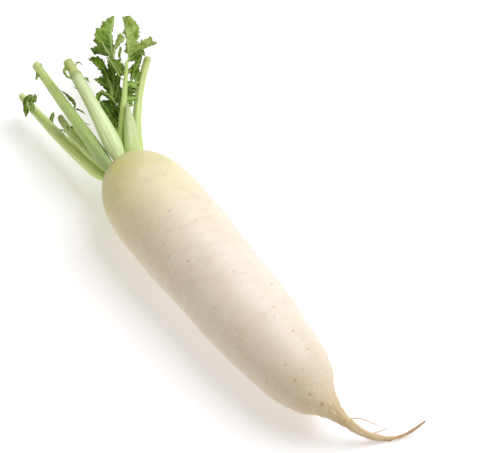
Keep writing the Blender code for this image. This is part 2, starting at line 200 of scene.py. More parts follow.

# ---- leaf blades ----
# points of the blade's vein from the midrib outwards; (share of the vein, half width on its left,
# on its right); how far each half is folded towards the viewer; ruffle; depth of the teeth; look,
# one of the lit and shaded copies of the leaf green
BLADES = {
    "front_leaf_tip": (
        ((-57, 50, 68.5), (-59.5, 53.5, 70.7), (-66.5, 58, 72), (-74.5, 63, 73), (-81.5, 67, 75),
         (-88, 69.5, 76), (-94.5, 72.5, 76.5)),
        ((0, 0.3, 0.3), (0.1, 0.8, 0.8), (0.16, 4, 2.6), (0.2, 6, 5.5), (0.3, 6, 8.4),
         (0.48, 6.5, 9.8), (0.6, 6.8, 11.8), (0.68, 6.6, 12.0), (0.8, 6, 10.4), (0.9, 5, 8),
         (0.96, 2.6, 4), (1, 0.4, 0.4)),
        (-80, 4), 1.1, 2.6, "pale"),
    "front_leaf_right": (
        ((-59, 52.5, 70), (-62, 57.5, 70.5), (-63, 61.5, 71), (-61.5, 67, 73), (-59, 71.5, 75.5),
         (-56, 75, 77.5), (-53, 77.5, 79)),
        ((0, 0.4, 0.6), (0.2, 1, 1.6), (0.34, 3.1, 3), (0.5, 5.4, 4), (0.64, 6.6, 3.4),
         (0.76, 6.4, 2.8), (0.84, 7, 2.4), (0.88, 4, 2.2), (0.94, 3.2, 1.8), (0.97, 1.6, 1.2),
         (1, 0.4, 0.5)),
        (4, -50), 0.9, 2.6, "pale"),
    # a lobe under the right one, in the deep look: painted shade below the right lobe
    "front_leaf_under": (
        ((-59.5, 52.3, 69.3), (-61, 56, 67.5), (-62.5, 60, 66.5), (-63.5, 65, 65), (-63, 69, 63.5),
         (-60.5, 70, 62)),
        ((0, 0.4, 0.4), (0.25, 2, 3.4), (0.42, 2.8, 5), (0.6, 3, 4.6), (0.82, 4, 4.2),
         (1, 0.8, 1.5)),
        (-20, -15), 0.9, 1.8, "deep"),
    "front_leaf_side": (
        ((-44.8, 39.5, 63.3), (-43, 43.7, 60.5), (-42, 47.5, 60), (-46, 51, 60),
         (-51.5, 52.5, 60.5), (-56, 53, 62)),
        ((0, 0.5, 0.5), (0.3, 0.6, 0.8), (0.42, 1.2, 2.4), (0.58, 2.4, 3.6), (0.76, 2.4, 6),
         (0.95, 1.2, 6), (1, 0.6, 2.5)),
        (15, -10), 0.8, 1.2, "medium"),
    "front_leaf_low": (
        ((-37.6, 33.3, 60.7), (-36.2, 36.4, 59.5), (-34.5, 39.5, 57.5), (-33, 42, 56.5)),
        ((0, 0.5, 0.8), (0.25, 2.2, 2.8), (0.5, 3.4, 3), (0.8, 3, 2), (1, 0.5, 0.6)),
        (10, -20), 0.8, 1.0, "medium"),
    "front_leaf_left": (
        ((-47.5, 41, 64), (-54.5, 41, 62.8), (-60.5, 42.5, 62.5), (-65.5, 43, 63),
         (-71, 43.5, 64.5), (-76, 43, 66)),
        ((0, 0.3, 0.3), (0.45, 0.4, 0.7), (0.6, 0.6, 1.4), (0.8, 1, 2.4), (0.92, 1, 1.6),
         (1, 0.3, 0.3)),
        (0, -25), 0.4, 0.6, "medium"),
    "front_leaf_inner": (
        ((-50.5, 44.3, 65.8), (-55, 44.5, 63.5), (-59.5, 45, 62), (-65, 46, 61), (-72, 47, 60),
         (-78, 47, 59)),
        ((0, 0.4, 0.4), (0.2, 2.5, 2.2), (0.3, 3.8, 3.6), (0.46, 4.6, 5.4), (0.65, 4.4, 4.8),
         (0.85, 3.6, 2.4), (1, 0.5, 0.5)),
        (-12, -12), 1.0, 1.2, "medium"),
    "front_leaf_small": (
        ((-56.5, 49.6, 68), (-60, 49.3, 67.8), (-66, 49.5, 69), (-68.5, 50.5, 69.5),
         (-71, 53.5, 70.5), (-73.5, 55.5, 71.5)),
        ((0, 0.3, 0.3), (0.4, 0.4, 0.5), (0.55, 1.4, 2.2), (0.8, 1.7, 2.2), (0.95, 1.1, 1.2),
         (1, 0.3, 0.3)),
        (50, 45), 0.3, 0.5, "medium"),
    "left_leaf_tip": (
        ((-79.5, 50.3, 53.8), (-91.5, 57.5, 54.5), (-98, 61.2, 55), (-103.5, 65.9, 56),
         (-108.5, 71.2, 58), (-112.2, 75.3, 59.5)),
        ((0, 1, 1), (0.08, 3, 3), (0.15, 8, 4), (0.2, 16.6, 5), (0.27, 17.6, 5.5),
         (0.32, 15.4, 5.5), (0.42, 14.6, 5.5), (0.5, 15.2, 5), (0.6, 13.8, 4.5), (0.66, 13.0, 4),
         (0.72, 10.6, 3.5), (0.8, 9.8, 3), (0.88, 6.8, 2.5), (0.95, 3.4, 1.5), (1, 0.4, 0.4)),
        (6, -75), 1.5, 3.1, "two_tone"),
    "left_leaf_right": (
        ((-79.5, 50.3, 53.8), (-83.5, 54.3, 55.5), (-87.2, 59.2, 56.5), (-88.5, 64, 57),
         (-89.5, 69.5, 57.5)),
        ((0, 0.3, 0.3), (0.15, 0.8, 1.6), (0.4, 1.4, 2.2), (0.55, 2.2, 2.4), (0.7, 3.8, 2.4),
         (0.88, 6.2, 2.2), (0.97, 5.5, 1.2), (1, 0.6, 0.4)),
        (8, -10), 0.8, 1.2, "pale"),
    "left_leaf_curl": (
        ((-80.5, 50.5, 54), (-81.5, 49.5, 58), (-86.5, 49, 61.5), (-93.5, 50.5, 62.5)),
        ((0, 0.4, 0.6), (0.25, 0.9, 1.9), (0.5, 1.3, 1.4), (0.75, 1.1, 0.8), (1, 0.3, 0.3)),
        (25, 25), 0.3, 0.6, "pale"),
    "left_leaf_high": (
        ((-71, 42.5, 49), (-74, 40.5, 50), (-78, 39.5, 51), (-85, 38.5, 51), (-90, 37, 51.5),
         (-93.5, 35.5, 52)),
        ((0, 1.5, 2), (0.1, 4.2, 3), (0.3, 4.7, 3.8), (0.42, 3.9, 6), (0.55, 3.1, 6.6),
         (0.7, 2.4, 6.6), (0.8, 2, 5.8), (0.86, 1.6, 4.6), (0.92, 1.3, 2.4), (1, 0.4, 0.4)),
        (-14, 6), 1.2, 2.3, "deep"),
    "left_leaf_middle": (
        ((-57.5, 34.5, 46.5), (-62, 33, 48), (-67, 32, 48.5), (-71.5, 30, 49.5), (-74.5, 28, 50)),
        ((0, 1.5, 1.5), (0.1, 3.5, 2.4), (0.25, 3.7, 3.4), (0.42, 3.1, 4.4), (0.6, 3, 5),
         (0.75, 2.2, 5), (0.87, 1.6, 2.6), (0.94, 0.8, 1), (1, 0.3, 0.3)),
        (-12, 8), 1.0, 1.9, "deep"),
    "left_leaf_arch": (
        ((-48.5, 28.3, 42.8), (-50.5, 28, 46), (-53, 27.5, 49), (-56.5, 26.5, 50.5),
         (-59.5, 25.5, 51), (-59.5, 22.5, 50), (-58, 19.5, 48), (-55.5, 18.5, 45.5)),
        ((0, 0.8, 0.8), (0.3, 1.8, 1.6), (0.5, 2.4, 1.6), (0.75, 3, 1.8), (0.9, 2.6, 1.6),
         (1, 0.5, 0.5)),
        (-10, -10), 0.8, 1.0, "deep"),
    "left_leaf_low": (
        ((-33.5, 20.5, 40.5), (-39.5, 21, 42), (-45.5, 21.5, 43), (-52, 22.5, 43.5),
         (-56.5, 23, 43.5)),
        ((0, 1.5, 1.5), (0.13, 2.9, 3.4), (0.35, 4.4, 4.6), (0.5, 4.2, 6), (0.8, 3.1, 6.1),
         (0.95, 2.4, 4.2), (1, 1, 1.5)),
        (-15, 5), 1.2, 1.8, "deep"),
    "left_leaf_base": (
        ((-20, 13, 37), (-25.5, 14.5, 39), (-32, 15.5, 40.5), (-38, 17, 41.5), (-43, 19, 42)),
        ((0, 0.3, 0.3), (0.2, 0.8, 0.9), (0.35, 1, 1.8), (0.6, 1.8, 3.2), (0.85, 2.1, 4.2),
         (1, 0.6, 1.2)),
        (-10, 10), 1.0, 0.9, "medium"),
    "left_leaf_inner": (
        ((-57, 34, 45), (-56, 36.5, 49), (-57.5, 39, 52), (-61, 42.5, 53.5), (-65.5, 46, 54)),
        ((0, 0.6, 0.6), (0.2, 2.2, 2.4), (0.5, 3, 2.8), (0.8, 2, 2.4), (1, 0.3, 0.3)),
        (-10, -20), 0.7, 1.0, "deep"),
    "left_leaf_inner_low": (
        ((-46.5, 28, 44.5), (-48, 30, 48), (-49.5, 32.5, 50), (-53, 36, 51)),
        ((0, 0.6, 0.8), (0.2, 1.6, 3.2), (0.5, 2.2, 3), (0.85, 1.8, 1.8), (1, 0.3, 0.3)),
        (-10, -10), 0.7, 0.9, "deep"),
}
# ---- crumpled leaflets between the larger ones ----
# vein points, half width at base, middle and tip, look (one of the lit and shaded copies of the
# leaf green)
TUFTS = {
    "left_leaf_low_outer": (
        ((-41.5, 23.5, 41.5), (-47.5, 22, 43.5), (-52.5, 21.5, 44), (-57, 21.5, 44)),
        (1.0, 3.6, 1.0), "deep"),
    "left_leaf_low_inner": (
        ((-33.5, 22, 40.5), (-41.5, 25, 43), (-48, 27, 45), (-53, 29, 46)),
        (1.0, 3.8, 1.0), "deep"),
    "left_leaf_mid_inner": (
        ((-52, 31, 44.5), (-55.5, 30, 46.5), (-60, 30, 47.5)),
        (1.4, 3.4, 0.8), "deep"),
    "left_leaf_high_low": (
        ((-63.5, 38, 47), (-68, 38, 49), (-74.5, 39.5, 50), (-81, 42.5, 50.5)),
        (1.0, 4.2, 1.0), "deep"),
    "left_leaf_high_inner": (
        ((-70.5, 43, 50), (-72, 47.5, 52), (-73, 51, 53), (-76, 55, 54)),
        (0.8, 3.6, 1.0), "deep"),
    "left_leaf_mid_right": (
        ((-57, 34.5, 45.5), (-58.5, 38, 48), (-60.5, 41.5, 50)),
        (0.8, 3.2, 0.8), "deep"),
    "left_leaf_base_inner": (
        ((-25, 16.5, 38.5), (-29.5, 18.5, 41), (-36, 21, 43)),
        (0.6, 2.4, 0.8), "deep"),
    "front_leaf_side_low": (
        ((-40.5, 36, 62.3), (-42, 41, 60.5), (-39.5, 43, 59.5), (-36, 43.5, 59)),
        (0.6, 3.0, 0.8), "deep"),
    "front_leaf_side_high": (
        ((-50.8, 44.2, 65.5), (-55, 50.5, 62.5), (-56.5, 55.5, 62), (-60, 61, 62.5)),
        (0.4, 2.6, 0.8), "deep"),
    "front_leaf_side_top": (
        ((-45.5, 45.5, 62), (-52, 53, 62.5), (-57, 60.5, 63), (-61.5, 66.5, 63)),
        (1.0, 3.8, 1.0), "deep"),
    "front_leaf_side_bright": (
        ((-45, 39, 62.5), (-44, 43.5, 62), (-42, 47, 61.5), (-42, 51, 61)),
        (1.6, 4.0, 1.6), "bright"),
    "front_leaf_side_fill": (
        ((-41, 35, 60.5), (-40.5, 39.5, 60), (-39.5, 43, 59.5), (-39, 46.5, 59)),
        (1.6, 4.2, 1.6), "deep"),
    "front_leaf_low_bright": (
        ((-36.5, 31.5, 59), (-35, 35.5, 58.5), (-34, 39, 58), (-33, 42.5, 57.5)),
        (1.6, 4.2, 1.6), "bright"),
    "front_leaf_low_fill": (
        ((-31.5, 27.5, 57), (-32, 31.5, 56.5), (-31.5, 34, 56), (-31, 36.5, 55.5)),
        (1.6, 4.0, 1.6), "medium"),
    "left_leaf_fill_upper": (
        ((-80.5, 46.5, 54.5), (-72.5, 44, 54), (-65, 41, 53.5), (-58.5, 37.5, 52)),
        (1.2, 3.4, 1.2), "deep"),
    "left_leaf_fill_outer": (
        ((-70, 38, 50), (-62, 35.5, 50), (-55, 32.5, 49), (-48.5, 28.5, 47)),
        (1.0, 3.0, 1.0), "medium"),
    "left_leaf_fill_high": (
        ((-60.5, 40.5, 53), (-53, 37.5, 50), (-46.5, 33.5, 47), (-41.5, 29.5, 45)),
        (1.0, 3.4, 1.0), "deep"),
    "left_leaf_fill_low": (
        ((-45, 29.5, 45), (-39.5, 27.5, 43), (-34.5, 23.5, 41), (-30.5, 19.5, 39)),
        (1.0, 3.4, 1.0), "deep"),
    "left_leaf_arch_bright": (
        ((-57, 26, 51), (-53, 28.5, 50.5), (-48.5, 29, 49.5), (-44, 28.5, 48)),
        (0.6, 1.9, 0.6), "bright"),
}
TUFT_FORM = ((-12, 8), 1.5, 1.3)  # folds, ruffle and teeth of all of them

# ---- torn scraps on the cut stalks: vein points, half width at base, middle and tip ----
SCRAPS = {
    "stalk_low_tooth": (((-98, -21, 30), (-100.5, -18, 30.5), (-103, -14.5, 30)), (1.4, 1.6, 0.4)),
    "stalk_low_patch": (
        ((-91.5, -24.5, 29), (-94.5, -21, 30), (-98, -18.5, 30.5)),
        (1.0, 2.0, 1.0)),
    "stalk_low_collar": (
        ((-106, -14, 27), (-105, -17, 30.5), (-104, -20, 30), (-100, -24, 26.5), (-96, -28, 22)),
        (1.8, 3.6, 0.8)),
    "stalk_low_flap": (
        ((-99, -16.5, 29), (-101.5, -14.5, 29.5), (-104.5, -12.5, 29), (-107, -11.5, 28)),
        (1.6, 2.2, 0.6)),
    "stalk_low_scrap": (
        ((-76.5, -15.5, 24), (-79.5, -13, 25), (-82, -10.5, 25), (-84, -7.5, 25)),
        (1.6, 2.1, 0.4)),
    "stalk_low_shred": (
        ((-67, -14.5, 25), (-64, -13, 25.5), (-61.5, -12.3, 26), (-59.5, -13, 26)),
        (0.5, 0.9, 0.4)),
    "stalk_small_scrap": (
        ((-50, -13.5, 41.5), (-52.5, -12.5, 41.5), (-55.5, -11, 40.5)),
        (1.0, 1.6, 0.6)),
    "stalk_small_flap": (((-49, -13, 41.5), (-49, -10.5, 42.5), (-46, -8, 42)), (1.6, 2.3, 0.8)),
    "stalk_small_shred": (
        ((-37, -12.5, 43.5), (-39.5, -11, 43.5), (-43, -9.5, 43)),
        (0.9, 1.4, 0.6)),
    "stalk_dark_scrap": (
        ((-100, -8.5, 62.5), (-97, -9.5, 62.5), (-95, -11.5, 62), (-93.5, -14, 61.5)),
        (0.6, 1.7, 0.4)),
    "stalk_dark_tuft": (((-99.5, -4.5, 62.5), (-102, -2.5, 63), (-105, -2, 63)), (0.8, 1.1, 0.5)),
    "stalk_dark_flap": (
        ((-53.5, -5.5, 56), (-56.5, -1.5, 58), (-59.5, -1, 59), (-64, -1.5, 59.5), (-68, -2, 60),
         (-74, -3, 60)),
        (0.6, 1.7, 0.3)),
    "stalk_dark_frond": (
        ((-53.5, -5.5, 56), (-52, -2, 57.5), (-49.5, -0.5, 57), (-44.5, 0.5, 56)),
        (0.5, 1.0, 0.3)),
    "stalk_dark_shred": (((-40.5, -6, 55.5), (-38, -4, 55.5), (-35, -2, 54.5)), (0.9, 0.7, 0.4)),
    "stalk_bright_curl": (
        ((-76, 7.5, 80), (-75, 4.5, 80), (-73, 2.5, 79.5), (-70, 2.5, 78), (-68, 3, 77.5),
         (-66, 4, 77), (-67, 5.5, 77)),
        (2.0, 1.4, 0.4)),
    "stalk_bright_tuft": (
        ((-74, 13.5, 79.5), (-74.5, 16, 80.5), (-72.5, 17.5, 80), (-70.5, 18, 79)),
        (0.9, 1.0, 0.5)),
    "stalk_bright_scrap": (
        ((-62, 13, 76), (-60, 14, 76), (-58.5, 14.5, 75), (-56.5, 14, 74)),
        (0.8, 1.3, 0.5)),
    "stalk_bright_shred": (((-56, 4, 74), (-58, 2.5, 74.5), (-60.5, 1.5, 75)), (0.5, 0.6, 0.4)),
}
SCRAP_FORM = ((-12, -12), 0.6, 0.8)  # folds, ruffle and teeth of all of them
# scraps take the deep look, whose dark green is partly painted shade; stalk_low_patch takes the
# bright look, painted light
SCRAP_LOOKS = {"stalk_low_patch": "bright", "stalk_bright_curl": "medium"}  # the rest are deep

# ---- make of the leaves ----
UPWARDS = (0.0, 0.0, 1.0)
# the way that leaves face
LEAF_FACING = (0.42, -0.32, 0.85)
BLADE_SPACING = 0.38
BLADE_COLUMNS = 16
LEAF_THICKNESS = 0.35
LEAST_HALF_WIDTH = 0.12
BLADE_TWIST = 22.0
# waves of a blade's ruffle: shortest and longest; how far from the vein it starts
RUFFLE_WAVES = (4.5, 12.0)
FLAT_NEAR_VEIN = 1.6
# teeth: distance between them, factors of their span and depth, most of the half width they cut
TOOTH_PITCH = 3.1
TOOTH_SPANS = (0.6, 1.5)
TOOTH_DEPTHS = (0.45, 1.1)
TOOTH_LIMIT = 0.55
# lateral veins: distance between them, angle to the middle vein
VEIN_PITCH = 4.6
VEIN_RISE = 50.0
# height of the bulge between veins and its reach; shade and reach of a lateral vein's colour,
# reach of the middle vein's
QUILT = 0.50
QUILT_REACH = 0.9
LATERAL_SHADE = 0.70
LATERAL_REACH = 0.34
MIDDLE_REACH = 0.5
# raised veins: points around, spacing of rings, half width along the vein, the length per half
# width at the base, least and greatest half width there, depth in the blade
THIN_SIDES = 10
VEIN_SPACING = 1.0
VEIN_WIDTHS = ((0.0, 1.0), (0.4, 0.75), (1.0, 0.3))
VEIN_SLENDERNESS = 60
VEIN_HALF_WIDTH = (0.26, 0.60)
VEIN_SINK = 0.12
# darkest and lightest colour of a leaf, colour of its veins; the looks are lit and shaded copies
# of one leaf green
# pale and bright hold painted light for lobes that face the lamp, deep holds painted shade for
# leaflets that lie in shade, besides the leaves' own greens
LEAF_LOOKS = {
    "pale": ((142, 172, 68), (206, 226, 130), (222, 236, 170)),
    "two_tone": ((112, 146, 40), (170, 198, 92), (214, 230, 158)),
    "bright": ((108, 148, 40), (178, 208, 94), (198, 220, 130)),
    "medium": ((92, 128, 30), (156, 184, 76), (190, 214, 122)),
    "deep": ((60, 94, 8), (118, 150, 32), (166, 194, 92)),
}
# painted shade: how much darker the base of a blade is than its tip
BASE_PAINTED_SHADE = {"two_tone": 0.9}
LEAF_TRANSLUCENCE = 0.28
PLANT_IOR = 1.45

# ---- camera, floor and light, in the row frame ----
VIEW_AZIMUTH = 52.5
VIEW_ELEVATION = 58.0
VIEW_LENS = 100.0
VIEW_DISTANCE = 1.0645
VIEW_TARGET = (-0.0096, 0.0335, -0.00045)
FLOOR_SIZE = 6.0
FLOOR_GREYS = ((227.24, 227.24, 227.24), (229.83, 229.83, 229.83))
FLOOR_GLOW = 0.36
STUDIO_COLOUR = (1.0, 0.92, 0.79)
STUDIO_STRENGTH = 0.42
KEY_DIRECTION = (0.05, 0.50, 0.865)
KEY_DISTANCE = 1.7
KEY_SIZE = 1.1
KEY_POWER = 22.6
KEY_COLOUR = (0.97, 1.0, 1.14)

RANDOM_SEED = 7
rng = np.random.default_rng(RANDOM_SEED)


def linear(red, green, blue):
    """Scene colour of an sRGB colour given as 0 to 255, fully opaque."""
    shares = [value / 255 for value in (red, green, blue)]
    return *(s / 12.92 if s <= 0.04045 else ((s + 0.055) / 1.055) ** 2.4 for s in shares), 1.0


# ---- smooth lines ----
def smooth_values(stations, places, column=1):
    """Values at places, on a cubic through the stations that doesn't overshoot them."""
    x, y = np.array([(row[0], row[column]) for row in stations], float).T
    rises = np.diff(y) / np.diff(x)
    both = rises[:-1] * rises[1:]
    slopes = np.zeros_like(y)
    level = both <= 0
    slopes[1:-1] = np.where(level, 0.0, 2 * both / np.where(level, 1.0, rises[:-1] + rises[1:]))
    at = np.clip(places, x[0], x[-1])
    i = np.minimum(np.searchsorted(x, at, side="right") - 1, len(x) - 2)
    span = x[i + 1] - x[i]
    t = (at - x[i]) / span
    return (
        y[i] * (1 + 2 * t) * (1 - t) ** 2 + span * slopes[i] * t * (1 - t) ** 2
        + y[i + 1] * t * t * (3 - 2 * t) + span * slopes[i + 1] * t * t * (t - 1)
    )


def smooth_step(value, low, high):
    share = np.clip((value - low) / (high - low), 0.0, 1.0)
    return share * share * (3 - 2 * share)


def heading(yaw, slope, along=-1.0):
    """Unit direction: yaw turns towards +Y, slope rises towards +Z, along is the X direction."""
    yaw, slope = math.radians(yaw), math.radians(slope)
    flat = math.cos(slope)
    return np.array((along * flat * math.cos(yaw), flat * math.sin(yaw), math.sin(slope)))


def turning_line(start, length, yaw, slope, steps):
    """Points of a line whose direction turns evenly from its first heading to its last."""
    points = [np.array(start, float)]
    for k in range(steps):
        t = (k + 0.5) / steps
        step = heading(yaw[0] + (yaw[1] - yaw[0]) * t, slope[0] + (slope[1] - slope[0]) * t)
        points.append(points[-1] + step * (length / steps))
    return np.array(points)


def unit(vectors):
    return vectors / np.maximum(np.linalg.norm(vectors, axis=-1, keepdims=True), 1e-12)


def frames_along(points, reference):
    """Right and up of a line at each point; up stays as near as it can to reference."""
    tangents = unit(np.gradient(points, axis=0))
    ups = unit(reference - (tangents @ reference)[:, None] * tangents)
    return np.cross(tangents, ups), ups


def rings_along(path, reference, across, rise):
    """Rings of points around a path; across and rise are each point's offsets from it."""
    rights, ups = frames_along(path, np.array(reference))
    return path[:, None] + rights[:, None] * across[..., None] + ups[:, None] * rise[..., None]


def grid(*coordinates):
    """A grid of points from coordinates that broadcast together."""
    return np.stack(np.broadcast_arrays(*coordinates), axis=-1)


def turns(count):
    """Evenly spaced angles around a ring."""
    return np.arange(count) * (2 * math.pi / count)


def waves(places, shortest, longest, count=14):
    """Smooth random field over places, mostly from -1 to 1, as a sum of plane waves."""
    total = np.zeros(places.shape[:-1])
    for _ in range(count):
        direction = unit(rng.normal(size=places.shape[-1]))
        length = rng.uniform(shortest, longest)
        total += np.sin(places @ direction * (2 * math.pi / length) + rng.uniform(0, 2 * math.pi))
    return total / math.sqrt(count) * 0.7


# ---- where the part's frame lies in the row frame ----
def bearing_slope():
    """Slope of the axis that lays both bearing stations of the body on the surface."""
    near, far = BEARING_STATIONS
    fall = smooth_values(ROOT_PROFILE, near) - smooth_values(ROOT_PROFILE, far)
    return -math.degrees(math.atan2(fall, far - near))


def part_origin():
    """The part's origin in the row frame, in millimetres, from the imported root's box."""
    low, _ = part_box("root")
    lean = math.radians(-bearing_slope())
    crown_x = low.x / MM + PART_CROWN_RADIUS * math.sin(lean)
    return np.array((crown_x, low.y / MM + BODY_RADIUS, -PRESSED_FLAT))


ORIGIN = part_origin()


def to_row(points):
    return (points + ORIGIN) * MM


# ---- meshes ----
def grid_faces(rows, columns, closed=False):
    """Quads between neighbours of a grid; closed joins each row's last point to its first."""
    k, j = np.meshgrid(np.arange(rows - 1), np.arange(columns - (not closed)), indexing="ij")
    a, b = k * columns + j, k * columns + (j + 1) % columns
    return np.stack((a, b, b + columns, a + columns), axis=-1).reshape(-1, 4).tolist()


def end_fans(rows, sides):
    """Triangles from two end points, stored after the rings, to the first and last ring."""
    first, last = rows * sides, rows * sides + 1
    start = (rows - 1) * sides
    near = [(first, (j + 1) % sides, j) for j in range(sides)]
    far = [(last, start + j, start + (j + 1) % sides) for j in range(sides)]
    return near + far


def add_attribute(mesh, name, values):
    kind = "FLOAT" if values.ndim == 1 else "FLOAT_VECTOR"
    made = mesh.attributes.new(name, kind, "POINT")
    field = "value" if values.ndim == 1 else "vector"
    made.data.foreach_set(field, values.astype(np.float32).ravel())


def add_piece(name, points, faces, material, attributes):
    """A mesh object of part-frame points that rides on the root body."""
    mesh = bpy.data.meshes.new(name)
    mesh.from_pydata(to_row(points).tolist(), [], faces)
    for key, values in attributes.items():
        add_attribute(mesh, key, values)
    mesh.shade_smooth()
    mesh.materials.append(material)
    item = bpy.data.objects.new(name, mesh)
    bpy.context.scene.collection.objects.link(item)
    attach(item, "root")
    return item


def add_tube(name, rings, material, attributes):
    """A piece that is a tube of rings, closed at both ends by the rings' middles."""
    rows, sides, _ = rings.shape
    faces = grid_faces(rows, sides, closed=True) + end_fans(rows, sides)
    attributes = {
        key: with_ends(np.broadcast_to(values, (rows, sides, *values.shape[2:])))
        for key, values in attributes.items()
    }
    return add_piece(name, with_ends(rings), faces, material, attributes)


def with_ends(values):
    """Per-point values of a closed tube: each end point takes its ring's mean."""
    ends = np.stack((values[0].mean(axis=0), values[-1].mean(axis=0)))
    flat = values.reshape(-1, *values.shape[2:])
    return np.concatenate((flat, ends))


# ---- material nodes ----
def new_material(name):
    material = bpy.data.materials.new(name)
    material.use_nodes = True
    tree = material.node_tree
    return material, tree, tree.nodes["Principled BSDF"]


def fill(node, values):
    """Set a node's inputs by name or place, to values or to other nodes' outputs."""
    for key, value in values.items():
        if isinstance(value, bpy.types.NodeSocket):
            node.id_data.links.new(value, node.inputs[key])
        else:
            node.inputs[key].default_value = value


def add_node(tree, kind, values, **settings):
    node = tree.nodes.new("ShaderNode" + kind)
    for name, value in settings.items():
        setattr(node, name, value)
    fill(node, values)
    return node


def maths(tree, operation, first, second):
    return add_node(tree, "Math", {0: first, 1: second}, operation=operation).outputs[0]


def product(tree, first, second):
    return maths(tree, "MULTIPLY", first, second)


def attribute(tree, name, output="Fac"):
    return add_node(tree, "Attribute", {}, attribute_name=name).outputs[output]


def noise(tree, vector, scale, detail=3.0, roughness=0.5, stretch=(1.0, 1.0, 1.0)):
    vector = add_node(tree, "VectorMath", {0: vector, 1: stretch}, operation="MULTIPLY").outputs[0]
    values = {"Vector": vector, "Scale": scale, "Detail": detail, "Roughness": roughness}
    return add_node(tree, "TexNoise", values).outputs["Fac"]


def spread(tree, value, low, high, to_low=0.0, to_high=1.0):
    """Value from low to high moved smoothly to the range from to_low to to_high."""
    values = {
        "Value": value, "From Min": low, "From Max": high, "To Min": to_low, "To Max": to_high,
    }
    return add_node(tree, "MapRange", values, interpolation_type="SMOOTHSTEP").outputs[0]


def ramp(tree, factor, stops):
    """Colour ramp; stops are (place, colour of 0 to 255)."""
    node = add_node(tree, "ValToRGB", {"Fac": factor})
    elements = node.color_ramp.elements
    while len(elements) < len(stops):
        elements.new(0.5)
    for element, (place, colour) in zip(elements, stops):
        element.position = place
        element.color = linear(*colour)
    return node.outputs["Color"]


def mixed(tree, factor, first, second):
    """First colour moved towards the second; a colour is a socket or values of 0 to 255."""
    first, second = (linear(*c) if isinstance(c, tuple) else c for c in (first, second))
    # on this node the factor, both colours and the result have these places
    return add_node(tree, "Mix", {0: factor, 6: first, 7: second}, data_type="RGBA").outputs[2]


def tinted(tree, colour, mask, low, high, strength, tint):
    """Colour moved towards a tint, by up to strength, as the mask rises from low to high."""
    return mixed(tree, spread(tree, mask, low, high, 0.0, strength), colour, tint)


def wandering(tree, along, vector, scale, reach):
    """Place along a piece, shifted here and there so that colours don't change on a line."""
    shift = maths(tree, "SUBTRACT", noise(tree, vector, scale), 0.5)
    return maths(tree, "ADD", along, product(tree, shift, reach))


def bump(tree, height, depth, strength, under=None):
    values = {"Height": height, "Distance": depth, "Strength": strength}
    if under is not None:
        values["Normal"] = under
    return add_node(tree, "Bump", values).outputs["Normal"]


def set_finish(shader, specular, subsurface=0.0, reach=0.003, tint=(1.0, 0.7, 0.4)):
    """The finish that is the same all over a surface, on the shader's own sockets."""
    fill(shader, {
        "Specular IOR Level": specular, "IOR": PLANT_IOR, "Subsurface Weight": subsurface,
        "Subsurface Scale": reach, "Subsurface Radius": tint,
    })


# ---- root ----
def root_rows():
    """Distance along the root and radius of each ring, from the crown's middle to the tip."""
    shares = np.arange(1, CROWN_ROWS + 1) / CROWN_ROWS
    at, places = 0.0, []
    while at < ROOT_LENGTH:
        at = min(at + (RING_SPACING if at < TAIL_START else TAIL_SPACING), ROOT_LENGTH)
        places.append(at)
    dome = (-CROWN_DOME * (1 - shares ** 2), ROOT_PROFILE[0][1] * shares)
    return np.concatenate((dome, (places, smooth_values(ROOT_PROFILE, places))), axis=1)


def root_axis(distances):
    """Points of the root's axis at distances along it, the crown at 0."""
    rest = bearing_slope()
    near = BEARING_STATIONS[0]
    lift = smooth_values(ROOT_PROFILE, near) / math.cos(math.radians(rest))
    lift += near * math.sin(math.radians(-rest))
    straight = heading(0.0, rest, 1.0)
    crown = np.array((0.0, 0.0, lift))
    bend = [(at, yaw, slope + rest) for at, yaw, slope in TAIL_BEND[:1]] + list(TAIL_BEND[1:])
    points, here, at = [], crown, 0.0
    for distance in distances:
        if distance <= TAIL_START:
            here, at = crown + straight * distance, distance
        else:
            middle = (at + distance) / 2
            turn = heading(smooth_values(bend, middle, 1), smooth_values(bend, middle, 2), 1.0)
            here, at = here + turn * (distance - at), distance
        points.append(here)
    return np.array(points)


def random_pits(count, rows, scatter, span, widths, shades, at_back):
    """Pits at random along rows of the root, as (distance, clock angle, width, darkness)."""
    pits = []
    while len(pits) < count:
        clock = rng.choice(rows) + rng.normal(0, scatter)
        at = rng.uniform(*span)
        if not at_back or BACK_CLOCKS[0] < clock % 360 < BACK_CLOCKS[1]:
            pits.append((at, clock, rng.uniform(*widths), rng.uniform(*shades)))
    return pits


def pit_field(distances, clocks, radii):
    """How deep in a pit each skin point is, and how brown, both from 0 to 1."""
    depth = np.zeros((len(distances), len(clocks)))
    brown = np.zeros_like(depth)
    for at, clock, width, dark in (*PITS, *random_pits(*BACK_PITS), *random_pits(*SMALL_PITS)):
        turn = np.abs((clocks - math.radians(clock) + math.pi) % (2 * math.pi) - math.pi)
        across = turn[None, :] * radii[:, None] / (PIT_REACH[0] * width)
        along = (distances[:, None] - at) / (PIT_REACH[1] * width)
        near = np.exp(-(across ** 2 + along ** 2))
        streak = np.exp(-((across / STREAK_REACH[0]) ** 2 + (along / STREAK_REACH[1]) ** 2))
        depth = np.maximum(depth, near * (0.4 + 0.6 * dark))
        brown = np.maximum(brown, np.maximum(near, STREAK_SHADE * streak) * dark)
    return depth, brown


